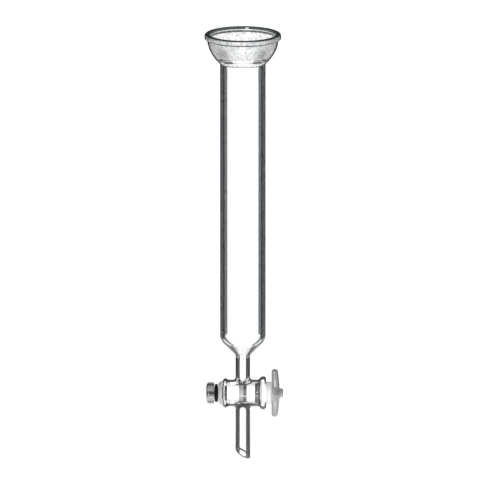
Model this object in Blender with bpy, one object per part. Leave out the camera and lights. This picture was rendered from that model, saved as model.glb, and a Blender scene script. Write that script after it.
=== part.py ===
"""Tall glass column funnel: a spherical ground socket on top, a straight tube, a drawn-down shoulder, a stopcock
with a tapered plastic plug, and a drip tip with a slanted end.

The frame's origin is on the tube's axis at the middle of the band where a stand's clamp grips the glass. +Z points up
the column and +X along the stopcock, from its nut towards its handle.
"""

import math

import bmesh
import bpy
from mathutils import Matrix, Vector

MM = 0.001

# The tube and the stem. The glass is one fused piece, modelled as the sections that a glass-blower seals together.
# The flow bore has one width from the shoulder through the plug to the tip.
TUBE_RADIUS = 17.5 * MM
TUBE_WALL = 2.5 * MM
STEM_RADIUS = 5.6 * MM
FLOW_BORE_RADIUS = 3.0 * MM
SEAL_GAP = 0.3 * MM

# The spherical socket takes a ball of this radius. Heights below are measured up the axis from the frame's origin.
BALL_RADIUS = 25.4 * MM
RIM_Z = 75.0 * MM
BALL_CENTRE_ABOVE_RIM = 1.4 * MM
LIP_RADIUS = 29.4 * MM
LIP_HEIGHT = 4.2 * MM
CUP_RADIUS = 27.7 * MM
CUP_CENTRE_BELOW_RIM = 1.8 * MM

SOCKET_SEAL_Z = RIM_Z - 34.0 * MM
SHOULDER_Z = RIM_Z - 237.6 * MM
STEM_TOP_Z = RIM_Z - 253.4 * MM
STEM_SEAL_Z = RIM_Z - 263.0 * MM
STOPCOCK_Z = RIM_Z - 283.6 * MM
TIP_SEAL_Z = RIM_Z - 304.2 * MM
TIP_CUT_Z = RIM_Z - 331.6 * MM
TIP_RADIUS = 5.85 * MM
TIP_SLANT = math.radians(44.0)
TIP_FACES = math.radians(-125.0)

# The stopcock, along X from its centre: nut on the left, handle on the right.
BARREL_LEFT = -15.6 * MM
BARREL_RIGHT = 18.0 * MM
BARREL_RADIUS = 10.3 * MM
BARREL_BEAD_RADIUS = 12.6 * MM
BARREL_SMALL_BEAD_RADIUS = 11.4 * MM
BORE_RADIUS_AT_CENTRE = 7.1 * MM
TAPER = 0.1
PLUG_CLEARANCE = 0.1 * MM

PLUG_SMALL_END = -14.8 * MM
PLUG_NECK_END = 21.7 * MM
GROOVE_START = 9.3 * MM
GROOVE_WIDTH = 5.6 * MM
GROOVE_RADIUS = 5.2 * MM

TAIL_RADIUS = 4.5 * MM
TAIL_FLAT = 3.6 * MM
TAIL_END = -27.0 * MM
THREAD_START = -19.6 * MM
THREAD_PITCH = 2.0 * MM
THREAD_DEPTH = 0.6 * MM
THREAD_CLEARANCE = 0.25 * MM

WASHER_LEFT = -18.9 * MM
RING_SECTION = 2.5 * MM
RING_INNER_RADIUS = 4.65 * MM
NUT_FACE = -22.0 * MM
NUT_END = -28.5 * MM
NUT_RADIUS = 8.3 * MM
NUT_LOBES = 6
NUT_LOBE_DEPTH = 0.9 * MM
NUT_TURN = math.radians(13.0)
PIECE_GAP = 0.3 * MM

SPIGOT_HALF = 3.2 * MM
SPIGOT_END = 26.4 * MM
SPIGOT_CLEARANCE = 0.15 * MM
HANDLE_FACE = 22.0 * MM
HANDLE_HALF_LENGTH = 18.4 * MM
HANDLE_HALF_THICK = 3.15 * MM
HANDLE_HALF_WIDE = 4.7 * MM
HANDLE_NUB_RADIUS = 3.6 * MM
HANDLE_END = 31.1 * MM

LARGE_ROUND = 48
SMALL_ROUND = 40
RING_ROUND = 32
SHARP_ANGLE = math.radians(35.0)


def clear_scene():
    for old in list(bpy.data.objects):
        bpy.data.objects.remove(old, do_unlink=True)


def material(name, colour, roughness, transmission=0.0):
    made = bpy.data.materials.new(name)
    made.use_nodes = True
    shader = made.node_tree.nodes["Principled BSDF"]
    shader.inputs["Base Color"].default_value = (*colour, 1.0)
    shader.inputs["Roughness"].default_value = roughness
    shader.inputs["Metallic"].default_value = 0.0
    shader.inputs["Transmission Weight"].default_value = transmission
    return made


def arc(centre, radius, start, end, count):
    """Points of an arc in the plane of the section, as (along, across), with angles from the along axis."""
    along, across = centre
    steps = [start + (end - start) * i / (count - 1) for i in range(count)]
    return [(along + radius * math.cos(a), across + radius * math.sin(a)) for a in steps]


def add_object(name, bm, paint, parent=None, location=(0.0, 0.0, 0.0)):
    bmesh.ops.recalc_face_normals(bm, faces=bm.faces)
    mesh = bpy.data.meshes.new(name)
    bm.to_mesh(mesh)
    bm.free()
    mesh.shade_smooth()
    mesh.set_sharp_from_angle(angle=SHARP_ANGLE)
    mesh.materials.append(paint)
    made = bpy.data.objects.new(name, mesh)
    made.location = location
    made.parent = parent
    bpy.context.scene.collection.objects.link(made)
    return made


def revolved(section, sides, about="Z", closed=True):
    """A bmesh turned from (along, radius) points, where a radius may be a function of along and angle.

    A closed section is a loop that makes a ring. An open one starts and ends on the axis.
    """
    bm = bmesh.new()
    rings = []
    for along, radius in section:
        ring = []
        for i in range(sides):
            angle = 2.0 * math.pi * i / sides
            r = radius(along, angle) if callable(radius) else radius
            across = (r * math.cos(angle), r * math.sin(angle))
            point = (along, *across) if about == "X" else (*across, along)
            ring.append(point)
        on_axis = not callable(radius) and radius == 0.0
        rings.append([bm.verts.new(ring[0])] if on_axis else [bm.verts.new(p) for p in ring])
    pairs = list(zip(rings, rings[1:]))
    if closed:
        pairs.append((rings[-1], rings[0]))
    for first, second in pairs:
        for i in range(sides):
            j = (i + 1) % sides
            if len(first) == 1:
                bm.faces.new((first[0], second[j], second[i]))
            elif len(second) == 1:
                bm.faces.new((first[i], first[j], second[0]))
            else:
                bm.faces.new((first[i], first[j], second[j], second[i]))
    return bm


def boolean(target, operation, tool):
    """Joins or cuts with a hidden helper object."""
    tool.hide_render = True
    tool.display_type = "WIRE"
    step = target.modifiers.new(operation.lower() + "_" + tool.name, "BOOLEAN")
    step.operation = operation
    step.object = tool
    step.solver = "EXACT"


def barrel_bore(x):
    """Radius of the barrel's tapered bore at x."""
    return BORE_RADIUS_AT_CENTRE + TAPER * x


def tail_radius(x, angle):
    """Radius of the plug's tail at x: a right-hand thread past THREAD_START, with two flats along the whole tail."""
    radius = TAIL_RADIUS
    if x < THREAD_START:
        radius -= THREAD_DEPTH * (0.5 - 0.5 * math.cos(2.0 * math.pi * x / THREAD_PITCH - angle))
    return min(radius, TAIL_FLAT / max(abs(math.cos(angle)), 1e-6))


def nut_thread_radius(x, angle):
    wave = 0.5 - 0.5 * math.cos(2.0 * math.pi * x / THREAD_PITCH - angle)
    return TAIL_RADIUS - THREAD_DEPTH * wave + THREAD_CLEARANCE


def spread(start, end, count):
    return [start + (end - start) * i / (count - 1) for i in range(count)]


def socket_joint(glass):
    """The cup that a ball joint seats in, with its lip and a short stub of tube."""
    ball_z = RIM_Z + BALL_CENTRE_ABOVE_RIM
    bore = TUBE_RADIUS - TUBE_WALL
    seat_start = math.acos(-BALL_CENTRE_ABOVE_RIM / BALL_RADIUS)
    seat_end = math.pi - math.asin((bore + 0.6 * MM) / BALL_RADIUS)
    inside = arc((ball_z, 0.0), BALL_RADIUS, seat_start, seat_end, 11)
    seat_foot = inside[-1][0]
    inside += [(seat_foot - 0.9 * MM, bore), (SOCKET_SEAL_Z, bore)]
    cup_z = RIM_Z - CUP_CENTRE_BELOW_RIM
    cup_start = math.pi - math.asin((TUBE_RADIUS + 0.9 * MM) / CUP_RADIUS)
    lip_foot = RIM_Z - LIP_HEIGHT
    cup_end = math.pi / 2.0 + math.asin((cup_z - lip_foot + 0.4 * MM) / CUP_RADIUS)
    outside = arc((cup_z, 0.0), CUP_RADIUS, cup_start, cup_end, 9)
    neck_z = outside[0][0] - 1.1 * MM
    outside = [(SOCKET_SEAL_Z, TUBE_RADIUS), (neck_z, TUBE_RADIUS)] + outside
    edge = 1.3 * MM
    lip = [(lip_foot, outside[-1][1] + 0.3 * MM)]
    lip += arc((lip_foot + edge, LIP_RADIUS - edge), edge, math.pi, math.pi / 2.0, 4)
    lip += arc((RIM_Z - edge, LIP_RADIUS - edge), edge, math.pi / 2.0, 0.0, 4)
    return add_object("socket_joint", revolved(inside + outside + lip, LARGE_ROUND), glass)


def column_tube(glass):
    """The long tube, drawn down through a rounded shoulder to the stem."""
    top = SOCKET_SEAL_Z - SEAL_GAP
    bottom = STEM_SEAL_Z + SEAL_GAP
    slope = math.radians(45.0)
    bend = 9.0 * MM
    outside = [(top, TUBE_RADIUS)]
    outside += arc((SHOULDER_Z, TUBE_RADIUS - bend), bend, math.pi / 2.0, math.pi / 2.0 + slope, 6)
    outside += [(STEM_TOP_Z + 1.2 * MM, STEM_RADIUS + 1.3 * MM), (STEM_TOP_Z, STEM_RADIUS + 0.4 * MM)]
    outside += [(STEM_TOP_Z - 1.2 * MM, STEM_RADIUS), (bottom, STEM_RADIUS)]
    bore = TUBE_RADIUS - TUBE_WALL
    inner_bend = bend - TUBE_WALL
    inside = [(bottom, FLOW_BORE_RADIUS), (STEM_TOP_Z - 0.4 * MM, FLOW_BORE_RADIUS)]
    inside += [(STEM_TOP_Z + 1.0 * MM, FLOW_BORE_RADIUS + 0.7 * MM)]
    inside += arc((SHOULDER_Z, TUBE_RADIUS - bend), inner_bend, math.pi / 2.0 + slope, math.pi / 2.0, 6)
    inside += [(top, bore)]
    return add_object("column_tube", revolved(outside + inside, LARGE_ROUND), glass)


def stopcock_barrel(glass, stopcock):
    """The cross barrel with its two side arms. Its bore tapers towards the nut."""
    section = [
        (BARREL_LEFT, 0.0),
        (BARREL_LEFT, BARREL_RADIUS - 0.9 * MM),
        (BARREL_LEFT + 0.7 * MM, BARREL_SMALL_BEAD_RADIUS - 0.4 * MM),
        (BARREL_LEFT + 1.8 * MM, BARREL_SMALL_BEAD_RADIUS),
        (BARREL_LEFT + 3.1 * MM, BARREL_SMALL_BEAD_RADIUS - 0.4 * MM),
        (BARREL_LEFT + 5.2 * MM, BARREL_RADIUS),
        (BARREL_RIGHT - 6.2 * MM, BARREL_RADIUS),
        (BARREL_RIGHT - 4.9 * MM, BARREL_BEAD_RADIUS - 1.4 * MM),
        (BARREL_RIGHT - 3.8 * MM, BARREL_BEAD_RADIUS - 0.3 * MM),
        (BARREL_RIGHT - 2.7 * MM, BARREL_BEAD_RADIUS),
        (BARREL_RIGHT - 1.0 * MM, BARREL_BEAD_RADIUS - 0.4 * MM),
        (BARREL_RIGHT, BARREL_BEAD_RADIUS - 1.5 * MM),
        (BARREL_RIGHT, 0.0),
    ]
    barrel = add_object("stopcock_barrel", revolved(section, SMALL_ROUND, "X", closed=False), glass, stopcock)
    arm_top = STEM_SEAL_Z - STOPCOCK_Z
    arm_foot = TIP_SEAL_Z - STOPCOCK_Z
    flare = [(12.6 * MM, 0.0), (11.1 * MM, 0.5 * MM), (10.0 * MM, 1.3 * MM), (9.0 * MM, 2.6 * MM)]
    arms = [(arm_foot, 0.0), (arm_foot, STEM_RADIUS)]
    arms += [(-z, STEM_RADIUS + out) for z, out in flare]
    arms += [(z, STEM_RADIUS + out) for z, out in reversed(flare)]
    arms += [(arm_top, STEM_RADIUS), (arm_top, 0.0)]
    boolean(barrel, "UNION", add_object("arms", revolved(arms, SMALL_ROUND, closed=False), glass, stopcock))
    spare = 1.0 * MM
    left, right = BARREL_LEFT - spare, BARREL_RIGHT + spare
    bore = [(left, 0.0), (left, barrel_bore(left)), (right, barrel_bore(right)), (right, 0.0)]
    boolean(barrel, "DIFFERENCE", add_object("taper", revolved(bore, SMALL_ROUND, "X", closed=False), glass, stopcock))
    foot, top = arm_foot - spare, arm_top + spare
    flow = [(foot, 0.0), (foot, FLOW_BORE_RADIUS), (top, FLOW_BORE_RADIUS), (top, 0.0)]
    boolean(barrel, "DIFFERENCE", add_object("flow", revolved(flow, RING_ROUND, closed=False), glass, stopcock))
    return barrel


def drip_tip(glass):
    """The outlet tube. A slanting cut leaves its longest point at the back right, so that the last drop lets go."""
    top = TIP_SEAL_Z - SEAL_GAP
    foot = TIP_CUT_Z - 2.0 * TIP_RADIUS
    section = [
        (top, STEM_RADIUS),
        (foot, TIP_RADIUS),
        (foot, FLOW_BORE_RADIUS),
        (top, FLOW_BORE_RADIUS),
    ]
    tip = add_object("drip_tip", revolved(section, SMALL_ROUND), glass)
    size = 6.0 * TIP_RADIUS
    bm = bmesh.new()
    bmesh.ops.create_cube(bm, size=size)
    bmesh.ops.translate(bm, vec=(0.0, 0.0, -size / 2.0), verts=bm.verts)
    cutter = add_object("slant", bm, glass, location=(0.0, 0.0, TIP_CUT_Z))
    down_slope = Vector((math.cos(TIP_FACES), math.sin(TIP_FACES), 0.0))
    cutter.rotation_euler = Matrix.Rotation(-TIP_SLANT, 3, Vector((0.0, 0.0, 1.0)).cross(down_slope)).to_euler()
    boolean(tip, "DIFFERENCE", cutter)
    return tip


def stopcock_plug(paint, stopcock):
    """The tapered plug, with a flow bore, a seal groove, a square spigot for the handle and a threaded tail."""

    def body(x):
        return barrel_bore(x) - PLUG_CLEARANCE

    groove_end = GROOVE_START + GROOVE_WIDTH
    neck = body(BARREL_RIGHT)
    thread = spread(TAIL_END, THREAD_START - 0.2 * MM, 19)
    section = [(TAIL_END, 0.0)] + [(x, tail_radius) for x in thread]
    section += [
        (THREAD_START, tail_radius),
        (PLUG_SMALL_END, tail_radius),
        (PLUG_SMALL_END, body(PLUG_SMALL_END) - 0.5 * MM),
        (PLUG_SMALL_END + 0.5 * MM, body(PLUG_SMALL_END + 0.5 * MM)),
        (GROOVE_START, body(GROOVE_START)),
        (GROOVE_START, GROOVE_RADIUS),
        (groove_end, GROOVE_RADIUS),
        (groove_end, body(groove_end)),
        (BARREL_RIGHT, neck),
        (PLUG_NECK_END - 0.5 * MM, neck),
        (PLUG_NECK_END, neck - 0.5 * MM),
        (PLUG_NECK_END, 0.0),
    ]
    plug = add_object("stopcock_plug", revolved(section, SMALL_ROUND, "X", closed=False), paint, stopcock)
    bm = bmesh.new()
    bmesh.ops.create_cube(bm, size=2.0 * SPIGOT_HALF)
    start = PLUG_NECK_END - 2.0 * MM
    stretch = (SPIGOT_END - start) / (2.0 * SPIGOT_HALF)
    bmesh.ops.scale(bm, vec=(stretch, 1.0, 1.0), verts=bm.verts)
    bmesh.ops.translate(bm, vec=((start + SPIGOT_END) / 2.0, 0.0, 0.0), verts=bm.verts)
    boolean(plug, "UNION", add_object("spigot", bm, paint, stopcock))
    reach = 2.0 * BORE_RADIUS_AT_CENTRE
    hole = [(-reach, 0.0), (-reach, FLOW_BORE_RADIUS), (reach, FLOW_BORE_RADIUS), (reach, 0.0)]
    boolean(plug, "DIFFERENCE", add_object("hole", revolved(hole, 24, closed=False), paint, stopcock))
    return plug


def ring(name, centre_x, mean_radius, half_width, half_height, paint, stopcock):
    """A seal ring about X with an oval section."""
    section = []
    for i in range(10):
        angle = 2.0 * math.pi * i / 10
        section.append((centre_x + half_width * math.cos(angle), mean_radius + half_height * math.sin(angle)))
    return add_object(name, revolved(section, RING_ROUND, "X"), paint, stopcock)


def plug_seal_ring(paint, stopcock):
    """The ring in the plug's groove, pressed a little flat by the barrel."""
    middle = GROOVE_START + GROOVE_WIDTH / 2.0
    floor = GROOVE_RADIUS + PLUG_CLEARANCE
    wall = barrel_bore(middle) - 1.5 * PLUG_CLEARANCE
    half_width = GROOVE_WIDTH / 2.0 - PLUG_CLEARANCE
    return ring("plug_seal_ring", middle, (floor + wall) / 2.0, half_width, (wall - floor) / 2.0, paint, stopcock)


def keyed_washer(paint, stopcock):
    """The sloping washer that bears on the barrel's end. Its hole has the tail's two flats, so that it turns with it."""
    right = BARREL_LEFT - PIECE_GAP
    clear = PLUG_CLEARANCE

    def hole(_, angle):
        return min(TAIL_RADIUS + clear, (TAIL_FLAT + clear) / max(abs(math.cos(angle)), 1e-6))

    section = [
        (WASHER_LEFT, hole),
        (WASHER_LEFT, 7.2 * MM),
        (WASHER_LEFT + 0.4 * MM, 7.7 * MM),
        (right - 0.6 * MM, 9.2 * MM),
        (right, 9.0 * MM),
        (right, hole),
    ]
    return add_object("keyed_washer", revolved(section, SMALL_ROUND, "X"), paint, stopcock)


def tension_ring(paint, stopcock):
    """The rubber ring between the washer and the nut, which keeps the plug pulled into its taper."""
    half = RING_SECTION / 2.0
    middle = (WASHER_LEFT + NUT_FACE) / 2.0
    return ring("tension_ring", middle, RING_INNER_RADIUS + half, half, half, paint, stopcock)


def tension_nut(paint, stopcock):
    """The domed nut on the plug's tail: lobed outside, threaded inside."""

    def lobed(base):
        return lambda _, angle: base - NUT_LOBE_DEPTH * (0.5 + 0.5 * math.cos(NUT_LOBES * (angle + NUT_TURN)))

    floor = NUT_END + 0.9 * MM
    dome = NUT_END + 1.3 * MM
    section = [
        (NUT_END, 0.0),
        (NUT_END + 0.15 * MM, 3.0 * MM),
        (NUT_END + 0.5 * MM, lobed(6.2 * MM)),
        (dome, lobed(NUT_RADIUS - 0.3 * MM)),
        (dome + 0.8 * MM, lobed(NUT_RADIUS)),
        (NUT_FACE - 0.9 * MM, lobed(NUT_RADIUS)),
        (NUT_FACE - 0.3 * MM, lobed(NUT_RADIUS - 0.3 * MM)),
        (NUT_FACE, lobed(NUT_RADIUS - 1.0 * MM)),
    ]
    section += [(x, nut_thread_radius) for x in spread(NUT_FACE, floor, 15)]
    section += [(floor, 0.0)]
    return add_object("tension_nut", revolved(section, LARGE_ROUND, "X", closed=False), paint, stopcock)


def t_handle(paint, stopcock):
    """The cross bar that turns the plug, with its hub and end nub. The bar lies along the flow bore."""
    hub = [
        (HANDLE_FACE, 0.0),
        (HANDLE_FACE, 7.0 * MM),
        (HANDLE_FACE + 0.6 * MM, 7.6 * MM),
        (HANDLE_FACE + 3.4 * MM, 7.3 * MM),
        (HANDLE_FACE + 5.6 * MM, 5.8 * MM),
        (HANDLE_FACE + 6.9 * MM, HANDLE_NUB_RADIUS + 0.5 * MM),
        (HANDLE_FACE + 7.4 * MM, HANDLE_NUB_RADIUS),
        (HANDLE_END - 0.9 * MM, HANDLE_NUB_RADIUS - 0.2 * MM),
        (HANDLE_END - 0.3 * MM, HANDLE_NUB_RADIUS - 1.0 * MM),
        (HANDLE_END, 0.0),
    ]
    handle = add_object("t_handle", revolved(hub, RING_ROUND, "X", closed=False), paint, stopcock)
    boolean(handle, "UNION", handle_bar(paint, stopcock))
    bm = bmesh.new()
    side = 2.0 * (SPIGOT_HALF + SPIGOT_CLEARANCE)
    depth = SPIGOT_END + SPIGOT_CLEARANCE - HANDLE_FACE
    spare = 1.0 * MM
    bmesh.ops.create_cube(bm, size=side)
    bmesh.ops.scale(bm, vec=((depth + spare) / side, 1.0, 1.0), verts=bm.verts)
    bmesh.ops.translate(bm, vec=(HANDLE_FACE + (depth - spare) / 2.0, 0.0, 0.0), verts=bm.verts)
    boolean(handle, "DIFFERENCE", add_object("socket_cut", bm, paint, stopcock))
    return handle


def handle_bar(paint, stopcock):
    """A bar along Z with its face towards the barrel. It thins a little towards its blunt ends."""
    bm = bmesh.new()
    sides = 24
    face = HANDLE_FACE + 0.15 * MM
    round_from = 0.9
    rings = []
    for share in (-1.0, -0.99, -0.96, -0.91, -0.6, -0.25, 0.25, 0.6, 0.91, 0.96, 0.99, 1.0):
        thin = 1.0 - 0.24 * share**2
        end = max(0.0, (abs(share) - round_from) / (1.0 - round_from))
        blunt = 0.55 + 0.45 * math.sqrt(1.0 - min(1.0, end) ** 2)
        half_x = HANDLE_HALF_THICK * thin * blunt
        half_y = HANDLE_HALF_WIDE * thin * blunt
        middle = face + HANDLE_HALF_THICK * thin
        loop = []
        for i in range(sides):
            angle = 2.0 * math.pi * i / sides
            c, s = math.cos(angle), math.sin(angle)
            x = middle + half_x * math.copysign(abs(c) ** 0.75, c)
            y = half_y * math.copysign(abs(s) ** 0.75, s)
            loop.append(bm.verts.new((x, y, share * HANDLE_HALF_LENGTH)))
        rings.append(loop)
    for first, second in zip(rings, rings[1:]):
        for i in range(sides):
            j = (i + 1) % sides
            bm.faces.new((first[i], first[j], second[j], second[i]))
    bm.faces.new(rings[0])
    bm.faces.new(rings[-1])
    return add_object("bar", bm, paint, stopcock)


def main():
    clear_scene()
    glass = material("clear_glass", (0.93, 0.95, 0.95), 0.02, transmission=1.0)
    plug_white = material("plug_white", (0.90, 0.90, 0.88), 0.35)
    handle_white = material("handle_white", (0.84, 0.84, 0.83), 0.25)
    seal_grey = material("seal_grey", (0.22, 0.22, 0.22), 0.5)
    rubber_black = material("rubber_black", (0.03, 0.03, 0.03), 0.55)

    stopcock = bpy.data.objects.new("stopcock_centre", None)
    stopcock.location = (0.0, 0.0, STOPCOCK_Z)
    bpy.context.scene.collection.objects.link(stopcock)

    socket_joint(glass)
    column_tube(glass)
    stopcock_barrel(glass, stopcock)
    drip_tip(glass)
    stopcock_plug(plug_white, stopcock)
    plug_seal_ring(seal_grey, stopcock)
    keyed_washer(plug_white, stopcock)
    tension_ring(rubber_black, stopcock)
    tension_nut(handle_white, stopcock)
    t_handle(handle_white, stopcock)


main()
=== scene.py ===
"""The looks of the glass column funnel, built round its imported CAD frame.

The glass, which the frame holds as four sections, becomes one fused piece here. The stopcock's plug, handle,
rings, washer and nut are made again with round edges, real threads and moulded forms. Lengths are in metres.

Profiles are lists of corners: a place along the axis and a radius, or a radius and a height, then the fillet.
"""

import math

import bmesh
import bpy
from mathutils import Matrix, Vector


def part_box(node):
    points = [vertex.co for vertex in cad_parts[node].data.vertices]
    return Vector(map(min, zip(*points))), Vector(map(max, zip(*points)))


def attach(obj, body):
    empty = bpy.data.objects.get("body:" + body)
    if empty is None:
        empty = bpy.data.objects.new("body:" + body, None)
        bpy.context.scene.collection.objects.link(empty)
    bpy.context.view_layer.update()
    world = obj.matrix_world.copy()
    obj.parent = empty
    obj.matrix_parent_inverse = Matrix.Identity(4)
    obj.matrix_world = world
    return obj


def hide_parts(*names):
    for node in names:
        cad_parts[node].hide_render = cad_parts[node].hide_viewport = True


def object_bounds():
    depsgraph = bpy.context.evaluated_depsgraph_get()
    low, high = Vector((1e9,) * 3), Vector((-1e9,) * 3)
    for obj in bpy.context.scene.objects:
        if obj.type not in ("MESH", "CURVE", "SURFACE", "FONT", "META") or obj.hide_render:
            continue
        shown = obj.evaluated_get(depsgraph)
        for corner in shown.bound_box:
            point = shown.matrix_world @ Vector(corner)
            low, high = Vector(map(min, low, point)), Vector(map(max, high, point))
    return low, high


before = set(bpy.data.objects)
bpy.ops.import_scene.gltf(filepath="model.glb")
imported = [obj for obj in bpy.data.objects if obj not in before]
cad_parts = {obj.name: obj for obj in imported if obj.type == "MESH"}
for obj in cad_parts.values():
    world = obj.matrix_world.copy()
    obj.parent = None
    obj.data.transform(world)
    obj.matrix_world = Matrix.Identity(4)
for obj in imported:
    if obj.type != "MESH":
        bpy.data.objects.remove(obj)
cad_low, cad_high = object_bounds()

MM = 0.001

# Where the frame's parts are.
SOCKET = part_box("socket_joint")
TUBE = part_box("column_tube")
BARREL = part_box("stopcock_barrel")
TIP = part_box("drip_tip")
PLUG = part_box("stopcock_plug")
SEAL_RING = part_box("plug_seal_ring")
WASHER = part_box("keyed_washer")
TENSION_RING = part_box("tension_ring")
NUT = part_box("tension_nut")
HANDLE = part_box("t_handle")

RIM_Z = SOCKET[1].z
LIP_RADIUS = SOCKET[1].x
TUBE_RADIUS = TUBE[1].x
STOPCOCK_Z = (PLUG[0].z + PLUG[1].z) / 2.0
STOPCOCK = (0.0, 0.0, STOPCOCK_Z)
BARREL_LEFT, BARREL_RIGHT = BARREL[0].x, BARREL[1].x
SEALS = (SOCKET[0].z, (TUBE[0].z + BARREL[1].z) / 2.0, (TIP[1].z + BARREL[0].z) / 2.0)

# The glass, as the frame's own solids have it.
TUBE_WALL = 2.5 * MM
STEM_RADIUS = 5.6 * MM
FLOW_BORE = 3.0 * MM
BALL_RADIUS = 25.4 * MM
BALL_CENTRE_Z = RIM_Z + 1.4 * MM
CUP_RADIUS = 27.7 * MM
CUP_CENTRE_Z = RIM_Z - 1.8 * MM
LIP_HEIGHT = 4.2 * MM
SEAT_FILLET = 1.6 * MM
CUP_FILLET = 3.0 * MM
SHOULDER_Z = RIM_Z - 237.6 * MM
STEM_TOP_Z = RIM_Z - 253.4 * MM
SHOULDER_BEND = 9.0 * MM
SHOULDER_SLOPE = math.radians(45.0)
STRAIGHT_FROM_Z = SHOULDER_Z + 12.0 * MM
TIP_RADIUS = TIP[1].x
TIP_SLANT = math.tan(math.radians(44.0))
TIP_FACES = math.radians(-125.0)
TIP_CUT_Z = TIP[0].z + TIP_SLANT * TIP_RADIUS
TIP_LEVEL_FROM = 16.0 * MM
BARREL_RADIUS = 10.3 * MM
BORE_AT_CENTRE = 7.1 * MM
TAPER = 0.1
PLUG_CLEARANCE = 0.1 * MM
DRILLED_TOP = 7.7 * MM
ARM_FOOT = 12.8 * MM
SEAL_SWELL = 0.11 * MM
SEAL_SPREAD = 1.6 * MM

# The plug, which tapers with the barrel, and the threaded tail on its small end.
PLUG_SMALL_END = -14.8 * MM
PLUG_NECK_END = 21.7 * MM
GROOVE = (9.3 * MM, 14.9 * MM)
GROOVE_RADIUS = 5.2 * MM
THREAD_PITCH = 2.0 * MM
THREAD_DEPTH = 0.6 * MM
THREAD_CLEARANCE = 0.25 * MM
THREAD_START = -19.6 * MM
THREAD_STEP = 0.14 * MM
TAIL_RADIUS = 4.5 * MM
TAIL_FLAT = 3.6 * MM
TAIL_CHAMFER = 0.5 * MM

# The two mouldings.
NUT_RADIUS = 8.3 * MM
NUT_LOBES = 6
NUT_LOBE_DEPTH = 0.9 * MM
NUT_TURN = math.radians(13.0)
HANDLE_HALF_THICK = 3.15 * MM
HANDLE_HALF_WIDE = 4.7 * MM
HANDLE_END_FILLET = 1.5 * MM
HANDLE_THINNING = 0.24
HANDLE_SQUARENESS = 0.75

# The glass's material slots, and how far the looks of some of them reach. The edge slot is painted shade, a
# near-black tint: BRIM below the rim inside, LIP_EDGE_TO at the lip's foot and BARREL_EDGE_TO at the barrel's
# small end.
WALL, THROAT, GROUND, SHADED_EDGE, LIP, CUP, STEM = range(7)
BRIM = 1.8 * MM
LIP_EDGE_TO = 2.0 * MM
BARREL_EDGE_TO = 0.8 * MM

# How finely the pieces are divided, and the angle from which an edge is a sharp one.
SIDES = 96
HUB_SIDES = 64
HOOP_POINTS = 28
ARC_STEP = math.radians(9.0)
SHARP = math.radians(40.0)

# The most that a fillet uses of a leg beside its corner, and a sine too small to divide by.
LEG_SHARE = 0.48
TINY = 1e-6


# ---------------------------------------------------------------- profiles


def arc(centre, radius, start, end):
    """Points of an arc from angle start to angle end, measured from the first axis."""
    count = max(2, math.ceil(abs(end - start) / ARC_STEP) + 1)
    angles = [start + (end - start) * i / (count - 1) for i in range(count)]
    return [(centre[0] + radius * math.cos(a), centre[1] + radius * math.sin(a)) for a in angles]


def rounded(corners):
    """A path of (a, b) points from (a, b, fillet radius) corners.

    A fillet that would use more than LEG_SHARE of a leg beside its corner is made smaller.
    """
    path = [Vector(corners[0][:2])]
    for before, corner, after in zip(corners, corners[1:], corners[2:]):
        here = Vector(corner[:2])
        if len(corner) < 3 or corner[2] <= 0.0:
            path.append(here)
            continue
        to_before = Vector(before[:2]) - here
        to_after = Vector(after[:2]) - here
        turn = to_before.angle(to_after)
        wanted = corner[2] / math.tan(turn / 2.0)
        reach = min(wanted, LEG_SHARE * to_before.length, LEG_SHARE * to_after.length)
        radius = reach * math.tan(turn / 2.0)
        first = here + to_before.normalized() * reach
        last = here + to_after.normalized() * reach
        inwards = (to_before.normalized() + to_after.normalized()).normalized()
        middle = here + inwards * (radius / math.sin(turn / 2.0))
        steps = max(2, math.ceil((math.pi - turn) / ARC_STEP))
        start, end = first - middle, last - middle
        sweep = math.atan2(start.x * end.y - start.y * end.x, start.dot(end))
        for i in range(steps + 1):
            a = sweep * i / steps
            cos, sin = math.cos(a), math.sin(a)
            spoke = Vector((start.x * cos - start.y * sin, start.x * sin + start.y * cos))
            path.append(middle + spoke)
    path.append(Vector(corners[-1][:2]))
    return [(p.x, p.y) for p in path]


def supported(path, spacing=7.0 * MM, hold=0.45 * MM):
    """The path with points added along its long straight runs, and one close to each end of a run."""
    out = [path[0]]
    for (a, b), (c, d) in zip(path, path[1:]):
        length = math.hypot(c - a, d - b)
        if length > 4.0 * hold:
            count = max(1, math.ceil((length - 2.0 * hold) / spacing))
            shares = [(hold + (length - 2.0 * hold) * i / count) / length for i in range(count + 1)]
            out += [(a + (c - a) * s, b + (d - b) * s) for s in shares]
        out.append((c, d))
    return out


def neck(sphere_radius, sphere_z, tube_radius, fillet):
    """The fillet between a tube below and a sphere above: its arc, as (radius, z), upwards."""
    centre_z = sphere_z - math.sqrt((sphere_radius + fillet) ** 2 - (tube_radius + fillet) ** 2)
    centre = (tube_radius + fillet, centre_z)
    end = math.atan2(sphere_z - centre_z, -centre[0])
    return arc(centre, fillet, math.pi, end)


# ---------------------------------------------------------------- meshes


def add_ring(bm, points):
    return [bm.verts.new(p) for p in points]


def round_z(radius, z):
    """A ring about the column's axis. radius and z may be functions of the angle."""
    points = []
    for i in range(SIDES):
        a = 2.0 * math.pi * i / SIDES
        r = radius(a) if callable(radius) else radius
        height = z(a) if callable(z) else z
        points.append((r * math.cos(a), r * math.sin(a), height))
    return points


def round_x(x, radius, sides=SIDES):
    """A ring about the stopcock's axis. radius may be a function of x and the angle."""
    points = []
    for i in range(sides):
        a = 2.0 * math.pi * i / sides
        r = radius(x, a) if callable(radius) else radius
        points.append((x, r * math.sin(a), STOPCOCK_Z + r * math.cos(a)))
    return points


def skin(bm, rings, slot=0):
    """Joins rings of the same size one after the other."""
    for first, second in zip(rings, rings[1:]):
        for i in range(len(first)):
            j = (i + 1) % len(first)
            bm.faces.new((first[i], first[j], second[j], second[i])).material_index = slot


def cap(bm, ring, point):
    """Closes a ring with a fan to a point on the axis."""
    middle = bm.verts.new(point)
    for i in range(len(ring)):
        bm.faces.new((ring[i], ring[(i + 1) % len(ring)], middle))


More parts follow.
